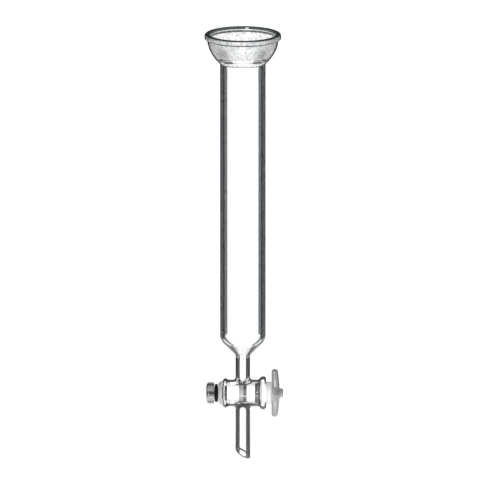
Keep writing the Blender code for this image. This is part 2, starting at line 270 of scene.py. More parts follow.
def make_object(name, bm, *materials):
    bmesh.ops.recalc_face_normals(bm, faces=bm.faces)
    mesh = bpy.data.meshes.new(name)
    bm.to_mesh(mesh)
    bm.free()
    mesh.shade_smooth()
    mesh.set_sharp_from_angle(angle=SHARP)
    for one in materials:
        mesh.materials.append(one)
    made = bpy.data.objects.new(name, mesh)
    bpy.context.scene.collection.objects.link(made)
    return made


def add_turned(bm, path, sides=SIDES):
    """Adds a skin turned about the stopcock's axis. Its (x, radius) path starts and ends on the axis."""
    rings = [add_ring(bm, round_x(x, r, sides)) for x, r in path[1:-1]]
    skin(bm, rings)
    for ring, (x, _) in ((rings[0], path[0]), (rings[-1], path[-1])):
        cap(bm, ring, (x, 0.0, STOPCOCK_Z))


def turned_x(name, path, paint):
    """A solid turned about the stopcock's axis, as add_turned makes it."""
    bm = bmesh.new()
    add_turned(bm, path)
    return make_object(name, bm, paint)


def hoop_x(name, path, paint):
    """A ring turned about the stopcock's axis from a closed (x, radius) path."""
    bm = bmesh.new()
    rings = [add_ring(bm, round_x(x, r)) for x, r in path]
    skin(bm, rings + rings[:1])
    return make_object(name, bm, paint)


# ---------------------------------------------------------------- materials

# Where a Mix node that mixes colours has its factor, its two colours and its result.
MIX_FACTOR, MIX_FIRST, MIX_SECOND, MIX_RESULT = 0, 6, 7, 2


class Nodes:
    """A short way to write a node tree."""

    def __init__(self, tree):
        self.tree = tree

    def link(self, output, target):
        self.tree.links.new(output, target)

    def feed(self, target, value):
        """Links an input to another node's output, or sets it to a plain value."""
        if isinstance(value, bpy.types.NodeSocket):
            self.link(value, target)
        else:
            target.default_value = value

    def add(self, kind, **values):
        """A new node. Each value is for the node's property of that name, or else for its input."""
        node = self.tree.nodes.new(kind)
        for key, value in values.items():
            if hasattr(node, key):
                setattr(node, key, value)
            else:
                self.feed(node.inputs[key.replace("_", " ").title()], value)
        return node

    def maths(self, kind, operation, *values):
        """A Math or Vector Math node, with its inputs fed in order."""
        node = self.add(kind, operation=operation)
        for target, value in zip(node.inputs, values):
            self.feed(target, value)
        return node

    def ramp(self, factor, *stops):
        """A colour ramp from (position, colour) stops."""
        node = self.add("ShaderNodeValToRGB", fac=factor)
        points = node.color_ramp.elements
        while len(points) < len(stops):
            points.new(0.5)
        for point, (position, colour) in zip(points, stops):
            point.position = position
            point.color = (*colour, 1.0)
        return node.outputs["Color"]

    def either(self, factor, first, second):
        """The first shader where the factor is 0, and the second where it is 1."""
        node = self.add("ShaderNodeMixShader", fac=factor)
        self.link(first, node.inputs[1])
        self.link(second, node.inputs[2])
        return node.outputs["Shader"]


class Paint(Nodes):
    """The nodes of a material with a Principled shader."""

    def __init__(self, name):
        self.material = bpy.data.materials.new(name)
        self.material.use_nodes = True
        super().__init__(self.material.node_tree)
        self.shader = self.tree.nodes["Principled BSDF"]
        self.place = self.add("ShaderNodeTexCoord").outputs["Object"]

    def scaled(self, scale):
        """Object coordinates, stretched."""
        return self.add("ShaderNodeMapping", vector=self.place, scale=scale).outputs["Vector"]

    def noise(self, scale, detail, stretch=(1.0, 1.0, 1.0)):
        node = self.add("ShaderNodeTexNoise", vector=self.scaled(stretch), scale=scale, detail=detail)
        return node.outputs["Fac"]

    def remap(self, factor, low, high):
        """A factor from 0 to 1, moved to the range from low to high."""
        return self.add("ShaderNodeMapRange", value=factor, to_min=low, to_max=high).outputs["Result"]

    def bump(self, height, distance, strength):
        node = self.add("ShaderNodeBump", distance=distance, strength=strength)
        self.link(height, node.inputs["Height"])
        return node.outputs["Normal"]

    def multiplied(self, colour, other, share=1.0):
        """A colour times another. Where share is less than 1, the first colour stays in part."""
        node = self.add("ShaderNodeMix", data_type="RGBA", blend_type="MULTIPLY")
        self.feed(node.inputs[MIX_FACTOR], share)
        self.link(colour, node.inputs[MIX_FIRST])
        self.link(other, node.inputs[MIX_SECOND])
        return node.outputs[MIX_RESULT]

    def set(self, **values):
        """Sets or links inputs of the shader."""
        for key, value in values.items():
            self.feed(self.shader.inputs[key.replace("_", " ")], value)


GLASS_IOR = 1.474


def let_lamps_through(n):
    """Rays from lamps go straight through the glass, so that the plug inside is lit."""
    through = n.add("ShaderNodeBsdfTransparent").outputs["BSDF"]
    is_lamp_ray = n.add("ShaderNodeLightPath").outputs["Is Shadow Ray"]
    surface = n.either(is_lamp_ray, n.shader.outputs["BSDF"], through)
    n.link(surface, n.tree.nodes["Material Output"].inputs["Surface"])


def clear_glass(name, clear_until):
    """Borosilicate glass with painted shade: its colour darkens towards its outline, where the eye looks
    along the wall.

    clear_until is how far from face on the glass still looks clear: 0 is face on and 1 is edge on.
    """
    clear = (0.99, 0.995, 0.995)
    dark = (0.004, 0.005, 0.006)
    less_dark = (0.012, 0.014, 0.016)
    outline = (0.0006, 0.0008, 0.001)
    change, outline_from = 0.08, 0.94
    n = Paint(name)
    # Painted shade: clear face on, nearly black towards the outline.
    tint = n.ramp(
        n.add("ShaderNodeLayerWeight", blend=0.5).outputs["Facing"],
        (clear_until, clear),
        (clear_until + change, dark),
        (0.5 * (clear_until + 1.0), less_dark),
        (outline_from, outline),
    )
    drawn_out = n.noise(90.0, 2.0, (1.0, 1.0, 0.06))
    n.set(
        Base_Color=tint,
        Transmission_Weight=1.0,
        Roughness=0.0,
        IOR=GLASS_IOR,
        Normal=n.bump(drawn_out, 0.01 * MM, 0.6),
    )
    let_lamps_through(n)
    return n.material


def shaded_edge_glass():
    """Painted shade: a near-black tint on the polished edges of the lip and of the barrel's small end, where
    glass looks dark because it bends light away.
    """
    n = Paint("shaded_edge_glass")
    n.set(Base_Color=(0.006, 0.008, 0.009, 1.0), Transmission_Weight=1.0, Roughness=0.0, IOR=GLASS_IOR)
    let_lamps_through(n)
    return n.material


def ground_glass():
    """The ground seat: a fine matt grain, stippled with the marks of the grinding."""
    n = Paint("ground_glass")
    grain = n.noise(2600.0, 4.0)
    stipple = n.noise(560.0, 3.0)
    n.set(
        Base_Color=n.ramp(stipple, (0.4, (0.45, 0.46, 0.48)), (0.56, (0.97, 0.97, 0.97))),
        Transmission_Weight=1.0,
        Roughness=n.remap(grain, 0.28, 0.55),
        IOR=GLASS_IOR,
        Normal=n.bump(grain, 0.08 * MM, 0.7),
    )
    let_lamps_through(n)
    return n.material


def plug_plastic(name, bore=0.0, shade=1.0):
    """White fluoropolymer, turned on a lathe: waxy, with fine tool rings along X.

    It is a little translucent. Where bore is given, painted shade stands for the flow bore of that radius: a
    grey band, lighter on its left and nearly black on its right, as if the bore were lit from the left. A
    shade below 1 makes a darker copy of the same plastic, which is painted shade as well.
    """
    n = Paint(name)
    tool_rings = n.add(
        "ShaderNodeTexWave", bands_direction="X", vector=n.place, scale=560.0, distortion=0.6, detail=1.0
    )
    cloud = n.noise(160.0, 3.0)
    # A shade below 1 darkens the whole plastic: painted shade on a copy of the lit white.
    dull, bright = 0.87 * shade, 0.93 * shade
    colour = n.ramp(cloud, (0.3, (dull, dull, dull)), (0.7, (bright, bright, bright)))
    if bore:
        along = n.add("ShaderNodeSeparateXYZ", vector=n.place).outputs["X"]
        reach = 1.3 * bore
        across = n.add("ShaderNodeMapRange", value=along, from_min=-reach, from_max=reach)
        # Painted shade of the flow bore: grey on its left, nearly black on its right, untouched outside it.
        painted_bore_shade = n.ramp(
            across.outputs["Result"],
            (0.06, (1.0, 1.0, 1.0)),
            (0.14, (0.3, 0.3, 0.31)),
            (0.46, (0.36, 0.36, 0.37)),
            (0.62, (0.06, 0.06, 0.065)),
            (0.84, (0.09, 0.09, 0.095)),
            (0.93, (1.0, 1.0, 1.0)),
        )
        colour = n.multiplied(colour, painted_bore_shade)
    n.set(
        Base_Color=colour,
        Roughness=n.remap(cloud, 0.3, 0.42),
        Subsurface_Weight=0.25,
        Subsurface_Scale=0.6 * MM,
        Subsurface_Radius=(1.0, 0.95, 0.9),
        IOR=1.38,
        Normal=n.bump(tool_rings.outputs["Fac"], 0.01 * MM, 0.35),
    )
    return n.material


def shaded_grooves(n, colour):
    """Darkens a colour in the grooves between the nut's grips with painted shade, as if shade fell in them.
    The dome is not darkened.
    """
    off_axis = n.maths("ShaderNodeVectorMath", "SUBTRACT", n.place, STOPCOCK).outputs["Vector"]
    split = n.add("ShaderNodeSeparateXYZ", vector=off_axis).outputs
    angle = n.maths("ShaderNodeMath", "ARCTAN2", split["Y"], split["Z"]).outputs["Value"]
    first_crest = -NUT_LOBES * NUT_TURN
    turns = n.maths("ShaderNodeMath", "MULTIPLY_ADD", angle, float(NUT_LOBES), first_crest).outputs["Value"]
    wave = n.maths("ShaderNodeMath", "COSINE", turns).outputs["Value"]
    height = n.add("ShaderNodeMapRange", value=wave, from_min=-1.0).outputs["Result"]
    painted_groove_shade = n.ramp(height, (0.05, (0.1, 0.1, 0.1)), (0.5, (1.0, 1.0, 1.0)))
    flat = n.maths("ShaderNodeVectorMath", "MULTIPLY", off_axis, (0.0, 1.0, 1.0)).outputs["Vector"]
    on_grips = n.add(
        "ShaderNodeMapRange",
        interpolation_type="SMOOTHSTEP",
        value=n.maths("ShaderNodeVectorMath", "LENGTH", flat).outputs["Value"],
        from_min=NUT_RADIUS - 2.1 * MM,
        from_max=NUT_RADIUS - 1.2 * MM,
    )
    return n.multiplied(colour, painted_groove_shade, on_grips.outputs["Result"])


def moulded_plastic(name, grooved=False):
    """Pale moulded plastic, as grey as it is drawn, glossy, with a fine grain and faint handling marks."""
    n = Paint(name)
    grain = n.noise(1900.0, 3.0)
    wear = n.noise(120.0, 5.0)
    colour = n.ramp(wear, (0.3, (0.33, 0.335, 0.34)), (0.65, (0.41, 0.41, 0.41)))
    # On the nut, painted shade darkens the grooves between the grips.
    if grooved:
        colour = shaded_grooves(n, colour)
    n.set(
        Base_Color=colour,
        Roughness=n.remap(wear, 0.14, 0.26),
        IOR=1.6,
        Coat_Weight=1.0,
        Coat_IOR=1.6,
        Coat_Roughness=0.06,
        Normal=n.bump(grain, 0.015 * MM, 0.4),
    )
    return n.material


def rubber(name, dark, light):
    """Rubber with a fine grain and a dusty bloom."""
    n = Paint(name)
    grain = n.noise(2200.0, 4.0)
    bloom = n.noise(260.0, 4.0)
    n.set(
        Base_Color=n.ramp(bloom, (0.35, dark), (0.75, light)),
        Roughness=n.remap(bloom, 0.42, 0.66),
        Specular_IOR_Level=0.12,
        Normal=n.bump(grain, 0.02 * MM, 0.5),
    )
    return n.material


# ---------------------------------------------------------------- the glass


def body_path():
    """The wall from the barrel's flow bore up the inside, over the lip and down the outside.

    Returns its (radius, z) points, and the stretches that share a glass, as (first point, last point, slot).
    """
    bore = TUBE_RADIUS - TUBE_WALL
    inner_bend = SHOULDER_BEND - TUBE_WALL
    bend_rise = math.tan(SHOULDER_SLOPE / 2.0)
    slope_drop = TUBE_RADIUS - STEM_RADIUS
    inside = [
        (FLOW_BORE, STOPCOCK_Z + DRILLED_TOP),
        (FLOW_BORE, STEM_TOP_Z - 0.2 * MM, 3.0 * MM),
        (bore, SHOULDER_Z - inner_bend * bend_rise, inner_bend),
        (bore, STRAIGHT_FROM_Z),
    ]
    seat_neck = neck(BALL_RADIUS, BALL_CENTRE_Z, bore, SEAT_FILLET)
    lower = math.atan2(seat_neck[-1][1] - BALL_CENTRE_Z, seat_neck[-1][0])
    upper = -math.asin((BALL_CENTRE_Z - RIM_Z) / BALL_RADIUS)
    brim = upper - BRIM / BALL_RADIUS
    seat = arc((0.0, BALL_CENTRE_Z), BALL_RADIUS, lower, brim)
    seat.append(arc((0.0, BALL_CENTRE_Z), BALL_RADIUS, brim, upper)[-1])
    cup_neck = neck(CUP_RADIUS, CUP_CENTRE_Z, TUBE_RADIUS, CUP_FILLET)
    foot_z = RIM_Z - LIP_HEIGHT
    cup_low = math.atan2(cup_neck[-1][1] - CUP_CENTRE_Z, cup_neck[-1][0])
    cup_high = math.asin((foot_z - CUP_CENTRE_Z) / CUP_RADIUS)
    cup = arc((0.0, CUP_CENTRE_Z), CUP_RADIUS, cup_high, cup_low)
    lip = rounded(
        [
            seat[-2],
            (*seat[-1], 0.8 * MM),
            (LIP_RADIUS, RIM_Z, 1.5 * MM),
            (LIP_RADIUS, foot_z, 2.2 * MM),
            (*cup[0], 0.5 * MM),
            cup[1],
        ]
    )
    outside = [
        (TUBE_RADIUS, STRAIGHT_FROM_Z),
        (TUBE_RADIUS, SHOULDER_Z - SHOULDER_BEND * bend_rise, SHOULDER_BEND),
        (STEM_RADIUS, SHOULDER_Z - SHOULDER_BEND * bend_rise - slope_drop, 4.0 * MM),
        (STEM_RADIUS, STOPCOCK_Z + ARM_FOOT),
    ]
    path = supported(rounded(inside) + seat_neck)
    seat_from = len(path)
    path += seat[1:-2] + lip[:2]
    seat_to = len(path) - 2
    path += lip[2:]
    cup_from = len(path) - 1
    margin = 0.1 * MM
    lip_from = next(i for i in range(seat_to + 1, cup_from) if path[i][0] > LIP_RADIUS - 3.0 * margin)
    lip_to = next(i for i in range(lip_from, cup_from) if path[i][1] < foot_z + LIP_EDGE_TO)
    path += cup[2:]
    cup_to = len(path) - 1
    path += supported(list(reversed(cup_neck)) + rounded(outside))[1:]
    throat_from = next(i for i in range(seat_from) if path[i + 1][0] > FLOW_BORE + margin)
    throat_to = next(i for i in range(seat_from) if path[i][0] > bore - margin)
    shoulder = next(i for i in range(cup_to, len(path)) if path[i + 1][0] < TUBE_RADIUS - margin)
    stem_from = next(i for i in range(shoulder, len(path)) if path[i][0] < STEM_RADIUS + margin)
    ends = (
        (throat_from, WALL),
        (throat_to, THROAT),
        (seat_from, WALL),
        (seat_to, GROUND),
        # The rim, the band below it inside and the lip's foot get the near-black tint: painted shade.
        (lip_from, SHADED_EDGE),
        (lip_to, LIP),
        (cup_from - 1, SHADED_EDGE),
        (cup_to, CUP),
        (shoulder, WALL),
        (stem_from, THROAT),
        (len(path) - 1, STEM),
    )
    starts = [0] + [end for end, _ in ends]
    return path, [(start, end, slot) for start, (end, slot) in zip(starts, ends)]


def swell(z):
    """How much thicker the glass is round a seal."""
    return sum(SEAL_SWELL * math.exp(-(((z - seal) / SEAL_SPREAD) ** 2)) for seal in SEALS)


def tip_path():
    """The wall of the outlet, down the outside and up the inside, as (radius, height above the cut)."""
    start = STOPCOCK_Z - ARM_FOOT - TIP_CUT_Z
    corners = [
        (STEM_RADIUS, start),
        (STEM_RADIUS, start - 10.0 * MM, 40.0 * MM),
        (TIP_RADIUS, 0.0, 0.7 * MM),
        (FLOW_BORE, 0.0, 0.6 * MM),
        (FLOW_BORE, STOPCOCK_Z - DRILLED_TOP - TIP_CUT_Z),
    ]
    return supported(rounded(corners), spacing=4.0 * MM)


def slanted(radius, height):
    """A ring of the outlet. Near the cut the rings lean with it, and further up they are level."""
    fade = max(0.0, 1.0 - max(0.0, height) / TIP_LEVEL_FROM)
    lean = TIP_SLANT * radius * fade

    def z(angle):
        return TIP_CUT_Z + height + lean * -math.cos(angle - math.pi - TIP_FACES)

    return round_z(radius, z)


def barrel_bore(x):
    return BORE_AT_CENTRE + TAPER * x


def on_barrel(x, psi, radius, side):
    """A point of the barrel. psi is measured from straight up, or from straight down where side is -1."""
    return (x, radius * math.sin(psi), STOPCOCK_Z + side * radius * math.cos(psi))


PATCH_HALF = 9.5 * MM
PATCH_COLUMNS = 16
PATCH_ROWS = 32


def patch_border():
    """The grid points round a hole, as (column, row from the middle), in step with the hole's own ring."""
    half = PATCH_ROWS // 2
    border = [(PATCH_COLUMNS, m) for m in range(0, half)]
    border += [(k, half) for k in range(PATCH_COLUMNS, 0, -1)]
    border += [(0, m) for m in range(half, -half, -1)]
    border += [(k, -half) for k in range(0, PATCH_COLUMNS)]
    border += [(PATCH_COLUMNS, m) for m in range(-half, 0)]
    return border


def barrel_surface(bm, radius_at, holes, steps):
    """A surface turned about the stopcock's axis, with a hole above and one below. Returns its end rings."""
    columns = [-PATCH_HALF + 2.0 * PATCH_HALF * k / PATCH_COLUMNS for k in range(PATCH_COLUMNS + 1)]
    turn = 2.0 * math.pi / SIDES
    half = PATCH_ROWS // 2

    def in_patch(row):
        """Whether a cell, or the strip of cells between two rows, lies under a patch."""
        low = row % SIDES
        return low < half or low >= SIDES - half or SIDES // 2 - half <= low < SIDES // 2 + half

    grid = {}
    for k, x in enumerate(columns):
        for row in range(SIDES):
            edge = k in (0, PATCH_COLUMNS)
            if edge or not (in_patch(row) and in_patch(row - 1)):
                grid[k, row] = bm.verts.new(on_barrel(x, row * turn, radius_at(x), 1.0))
    for k in range(PATCH_COLUMNS):
        for row in range(SIDES):
            if not in_patch(row):
                after = (row + 1) % SIDES
                bm.faces.new((grid[k, row], grid[k + 1, row], grid[k + 1, after], grid[k, after]))
    for side, hole in holes.items():
        border = patch_border()
        rows = [m % SIDES if side > 0 else (SIDES // 2 - m) % SIDES for _, m in border]
        outer = [grid[k, row] for (k, _), row in zip(border, rows)]
        rings = [hole]
        for step in range(1, steps):
            share = step / steps
            ring = []
            for vert, (k, m) in zip(hole, border):
                start = math.asin(vert.co.y / radius_at(vert.co.x))
                x = vert.co.x + (columns[k] - vert.co.x) * share
                psi = start + (m * turn - start) * share
                ring.append(bm.verts.new(on_barrel(x, psi, radius_at(x), side)))
            rings.append(ring)
        skin(bm, rings + [outer])
    ends = (0, PATCH_COLUMNS)
    return [[grid[k, row] for row in range(SIDES)] for k in ends]


def foot_rings(bm, arm, side):
    """The fillet from an arm's last ring down to the barrel, ending in the ring that lies on the barrel.

    Each of its lines is a cubic curve from the arm's side to the barrel's surface, tangent to both.
    """
    rings = [arm]
    steps = 9
    narrow, widening = 7.4 * MM, 1.0 * MM
    away_pull, down_pull = 1.6, 1.4
    for step in range(1, steps + 1):
        t = step / steps
        ring = []
        for vert in arm:
            a = math.atan2(vert.co.y, vert.co.x)
            reach = narrow + widening * math.sin(a) ** 2
            rise = math.sqrt(BARREL_RADIUS**2 - (reach * math.sin(a)) ** 2)
            start = (STEM_RADIUS, abs(vert.co.z - STOPCOCK_Z))
            away = away_pull * (reach - STEM_RADIUS)
            down = down_pull * (start[1] - rise)
            slope = -reach * math.sin(a) ** 2 / rise
            h00, h10 = 2 * t**3 - 3 * t**2 + 1, t**3 - 2 * t**2 + t
            h01, h11 = -2 * t**3 + 3 * t**2, t**3 - t**2
            r = h00 * start[0] + h01 * reach + h11 * away
            z = h00 * start[1] - h10 * down + h01 * rise + h11 * away * slope
            ring.append(bm.verts.new((r * math.cos(a), r * math.sin(a), STOPCOCK_Z + side * z)))
        rings.append(ring)
    return rings


def drilled_ring(side):
    """Where the flow bore breaks into the barrel's bore."""
    points = []
    for x, y, _ in round_z(FLOW_BORE, 0.0):
        points.append((x, y, STOPCOCK_Z + side * math.sqrt(barrel_bore(x) ** 2 - y**2)))
    return points


def barrel_ends():
    """The beads on the barrel's left and right end, each from the bore round to the outside."""
    left = [
        (-PATCH_HALF, barrel_bore(-PATCH_HALF)),
        (BARREL_LEFT, barrel_bore(BARREL_LEFT), 0.5 * MM),
        (BARREL_LEFT, 9.7 * MM, 0.9 * MM),
        (BARREL_LEFT + 1.8 * MM, 11.8 * MM, 1.5 * MM),
        (BARREL_LEFT + 4.6 * MM, BARREL_RADIUS, 3.0 * MM),
        (-PATCH_HALF, BARREL_RADIUS),
    ]
    right = [
        (PATCH_HALF, barrel_bore(PATCH_HALF)),
        (BARREL_RIGHT, barrel_bore(BARREL_RIGHT), 0.5 * MM),
        (BARREL_RIGHT, 11.6 * MM, 0.9 * MM),
        (BARREL_RIGHT - 1.6 * MM, 13.0 * MM, 1.4 * MM),
        (BARREL_RIGHT - 4.0 * MM, 12.6 * MM, 1.4 * MM),
        (BARREL_RIGHT - 5.8 * MM, BARREL_RADIUS, 2.4 * MM),
        (PATCH_HALF, BARREL_RADIUS),
    ]
    return left, right


def glass_body():
    """The whole glass, from the socket's lip to the slanted tip, as one closed skin."""
    bm = bmesh.new()
    path, stretches = body_path()
    inside_end = next(first for first, _, slot in stretches if slot == GROUND)
    column = []
    for i, (r, z) in enumerate(path):
        grow = -swell(z) if i < inside_end else swell(z)
        column.append(add_ring(bm, round_z(r + grow, z)))
    for first, last, slot in stretches:
        skin(bm, column[first : last + 1], slot)
    tip = tip_path()
    outlet = [add_ring(bm, slanted(r, h)) for r, h in tip]
    cut_edge = next(i for i, (r, _) in enumerate(tip) if r < STEM_RADIUS - 0.5 * MM)
    skin(bm, outlet[: cut_edge + 1], STEM)
    skin(bm, outlet[cut_edge:])
    upper, lower = add_ring(bm, drilled_ring(1.0)), add_ring(bm, drilled_ring(-1.0))
    skin(bm, [upper, column[0]])
    skin(bm, [outlet[-1], lower])
    upper_foot = foot_rings(bm, column[-1], 1.0)
    lower_foot = foot_rings(bm, outlet[0], -1.0)
    skin(bm, upper_foot)
    skin(bm, lower_foot, STEM)
    inner = barrel_surface(bm, barrel_bore, {1.0: upper, -1.0: lower}, steps=6)
    feet = {1.0: upper_foot[-1], -1.0: lower_foot[-1]}
    outer = barrel_surface(bm, lambda x: BARREL_RADIUS, feet, steps=4)
    for end, first, last in zip(barrel_ends(), inner, outer):
        between = supported(rounded(end), spacing=2.0 * MM, hold=0.25 * MM)[1:-1]
        rings = [first] + [add_ring(bm, round_x(x, r)) for x, r in between] + [last]
        for one, after, (x, _) in zip(rings, rings[1:], between + between[-1:]):
            # The barrel's small end gets the near-black tint too: painted shade.
            skin(bm, [one, after], SHADED_EDGE if x < BARREL_LEFT + BARREL_EDGE_TO else WALL)
    slots = {
        WALL: clear_glass("clear_glass", 0.36),
        THROAT: clear_glass("throat_glass", 0.49),
        GROUND: ground_glass(),
        SHADED_EDGE: shaded_edge_glass(),
        LIP: clear_glass("lip_glass", 0.7),
        CUP: clear_glass("cup_glass", 0.66),
        STEM: clear_glass("stem_glass", 0.1),
    }
    return make_object("glass_body", bm, *(slots[i] for i in sorted(slots)))


# ---------------------------------------------------------------- the stopcock


def with_flats(radius, flat, angle):
    """A radius, cut down where it would reach past the flat in front or the one behind."""
    return min(radius, flat / max(abs(math.sin(angle)), TINY))


def thread_wave(x, angle):
    """0 on the thread's crest and 1 at its root."""
    return 0.5 - 0.5 * math.cos(2.0 * math.pi * x / THREAD_PITCH + angle - math.pi / 2.0)


def tail_radius(x, angle):
    """The tail, with two flats and a thread that reaches its full depth over half a turn."""
    run = min(1.0, max(0.0, (THREAD_START - x) / (0.5 * THREAD_PITCH)))
    end = min(1.0, max(0.0, (x - PLUG[0].x) / TAIL_CHAMFER))
    radius = TAIL_RADIUS - THREAD_DEPTH * thread_wave(x, angle) * run - TAIL_CHAMFER * (1.0 - end)
    return with_flats(radius, TAIL_FLAT, angle)


def spread(start, end, spacing):
    """Even places from start to end, about the given spacing apart."""
    count = max(1, round(abs(end - start) / spacing))
    return [start + (end - start) * i / count for i in range(count + 1)]


def stopcock_plug(paint):
    """The tapered plug with its flow bore, seal groove and threaded tail."""
    left = PLUG_SMALL_END

    def body(x):
        return barrel_bore(x) - PLUG_CLEARANCE

    tail = [(x, tail_radius) for x in spread(PLUG[0].x, left - 0.2 * MM, THREAD_STEP)]
    solid = rounded(
        [
            (left, TAIL_RADIUS - 1.0 * MM),
            (left, body(left), 0.5 * MM),
            (GROOVE[0], body(GROOVE[0]), 0.25 * MM),
            (GROOVE[0], GROOVE_RADIUS, 0.3 * MM),
            (GROOVE[1], GROOVE_RADIUS, 0.3 * MM),
            (GROOVE[1], body(GROOVE[1]), 0.25 * MM),
            (BARREL_RIGHT, body(BARREL_RIGHT), 3.0 * MM),
            (PLUG_NECK_END, body(BARREL_RIGHT), 0.6 * MM),
            (PLUG_NECK_END, 1.0 * MM),
        ]
    )
    path = [(PLUG[0].x, 0.0)] + tail + supported(solid, 3.0 * MM, 0.2 * MM) + [(PLUG_NECK_END, 0.0)]
    plug = turned_x("stopcock_plug_body", path, paint)
    bore = bmesh.new()
    reach = 12.0 * MM
    rings = [add_ring(bore, round_z(FLOW_BORE, STOPCOCK_Z + z)) for z in (-reach, reach)]
    skin(bore, rings)
    for ring, z in zip(rings, (-reach, reach)):
        cap(bore, ring, (0.0, 0.0, STOPCOCK_Z + z))
    cut(plug, make_object("flow_bore_cutter", bore))
    return plug


def cut(target, tool):
    """Subtracts a helper object from a piece, and removes it."""
    step = target.modifiers.new("cut", "BOOLEAN")
    step.operation = "DIFFERENCE"
    step.solver = "EXACT"
    step.object = tool
    settle(target)
    bpy.data.objects.remove(tool, do_unlink=True)


def settle(piece):
    """Applies a piece's modifiers to its mesh."""
    view = bpy.context.evaluated_depsgraph_get()
    old = piece.data
    made = bpy.data.meshes.new_from_object(piece.evaluated_get(view))
    made.name = old.name
    piece.modifiers.clear()
    piece.data = made
    bpy.data.meshes.remove(old)
    made.shade_smooth()
    made.set_sharp_from_angle(angle=SHARP)


def oval_hoop(name, box, inner, outer, paint):
    """A seal ring that fills a box along X, between two radii."""
    middle = ((box[0].x + box[1].x) / 2.0, (inner + outer) / 2.0)
    half_x, half_r = (box[1].x - box[0].x) / 2.0, (outer - inner) / 2.0
    path = []
    for i in range(HOOP_POINTS):
        a = 2.0 * math.pi * i / HOOP_POINTS
        path.append((middle[0] + half_x * math.cos(a), middle[1] + half_r * math.sin(a)))
    return hoop_x(name, path, paint)


def keyed_washer(paint):
    """The washer: a sloping rim, wider towards the barrel, and a hole that fits the tail and its flats."""
    left, right = WASHER[0].x, WASHER[1].x

    def hole(_, angle):
        return with_flats(TAIL_RADIUS + PLUG_CLEARANCE, TAIL_FLAT + PLUG_CLEARANCE, angle)

    outer = rounded(
        [
            (left, 5.5 * MM),
            (left, 7.3 * MM, 0.5 * MM),
            (left + 1.6 * MM, 8.9 * MM, 1.0 * MM),
            (right - 0.5 * MM, 9.3 * MM, 0.5 * MM),
            (right, 8.8 * MM, 0.3 * MM),
            (right, 5.5 * MM),
        ]
    )
    inner = [(x, hole) for x in spread(right, left, 0.6 * MM)]
    return hoop_x("keyed_washer_body", outer + inner, paint)


def tension_nut(paint):
    """The domed nut: six grips outside, a thread inside."""
    start, end = NUT[1].x, NUT[0].x
    dome_to = 5.6 * MM

    def lobed(base):
        wave = NUT_LOBE_DEPTH * (base / NUT_RADIUS) ** 3
        return lambda _, a: base - wave * (0.5 - 0.5 * math.cos(NUT_LOBES * (a - NUT_TURN)))

    def thread(x, a):
        return TAIL_RADIUS - THREAD_DEPTH * thread_wave(x, a) + THREAD_CLEARANCE

    outer = supported(
        rounded(
            [
                (end, 0.0),
                (end + 0.15 * MM, 4.2 * MM, 5.0 * MM),
                (end + 0.55 * MM, 6.6 * MM, 3.0 * MM),
                (end + 1.5 * MM, NUT_RADIUS, 1.1 * MM),
                (start, NUT_RADIUS, 0.9 * MM),
                (start, 5.4 * MM, 0.3 * MM),
                (start - 0.7 * MM, TAIL_RADIUS + 0.2 * MM, 0.2 * MM),
                (start - 1.1 * MM, TAIL_RADIUS),
            ]
        ),
        1.2 * MM,
        0.2 * MM,
    )
    bottom = end + 0.9 * MM
    path = [(x, lobed(r)) if i and r > dome_to else (x, r) for i, (x, r) in enumerate(outer[:-1])]
    path += [(x, thread) for x in spread(start - 1.2 * MM, bottom + 0.1 * MM, THREAD_STEP)]
    path += [(bottom, TAIL_RADIUS * 0.8), (bottom, 0.0)]
    return turned_x("tension_nut_body", path, paint)


def t_handle(paint):
    """The cross bar and the hub with its nub, melted together as one moulding."""
    bm = bmesh.new()
    face, end = HANDLE[0].x, HANDLE[1].x
    hub = rounded(
        [
            (face, 0.0),
            (face, 7.6 * MM, 0.6 * MM),
            (face + 3.2 * MM, 7.3 * MM, 2.5 * MM),
            (face + 6.6 * MM, 3.6 * MM, 1.8 * MM),
            (end, 3.4 * MM, 1.0 * MM),
            (end, 0.0),
        ]
    )
    add_turned(bm, hub, HUB_SIDES)
    add_bar(bm, face + 0.1 * MM)
    handle = make_object("t_handle_body", bm, paint)
    melt = handle.modifiers.new("melt", "REMESH")
    melt.mode = "VOXEL"
    melt.voxel_size = 0.22 * MM
    settle(handle)
    even = handle.modifiers.new("even", "SMOOTH")
    even.factor = 0.5
    even.iterations = 14
    settle(handle)
    handle.data.materials.clear()
    handle.data.materials.append(paint)
    return handle


def add_bar(bm, face):
    """Adds the bar's skin, along Z from one blunt end to the other, a little thinner towards each."""
    half_length = (HANDLE[1].z - HANDLE[0].z) / 2.0
    end_from = half_length - HANDLE_END_FILLET
    end_middle = face + 2.2 * MM
    sides = 48
    stations = 64
    rings = []
    for k in range(stations + 1):
        share = math.sin(math.pi / 2.0 * (2.0 * k / stations - 1.0))
        thin = 1.0 - HANDLE_THINNING * share**2
        into_end = max(0.0, abs(share) * half_length - end_from) / HANDLE_END_FILLET
        inset = HANDLE_END_FILLET * (1.0 - math.sqrt(max(0.0, 1.0 - into_end**2)))
        half_x = HANDLE_HALF_THICK * thin - inset
        half_y = HANDLE_HALF_WIDE * thin - inset
        middle = face + HANDLE_HALF_THICK * thin
        ring = []
        for i in range(sides):
            a = 2.0 * math.pi * i / sides
            c, s = math.cos(a), math.sin(a)
            x = middle + half_x * math.copysign(abs(c) ** HANDLE_SQUARENESS, c)
            y = half_y * math.copysign(abs(s) ** HANDLE_SQUARENESS, s)
            ring.append((x, y, STOPCOCK_Z + share * half_length))
        rings.append(add_ring(bm, ring))
    skin(bm, rings)
    for ring, side in ((rings[0], -1.0), (rings[-1], 1.0)):
        cap(bm, ring, (end_middle, 0.0, STOPCOCK_Z + side * half_length))


# ---------------------------------------------------------------- pieces on their bodies


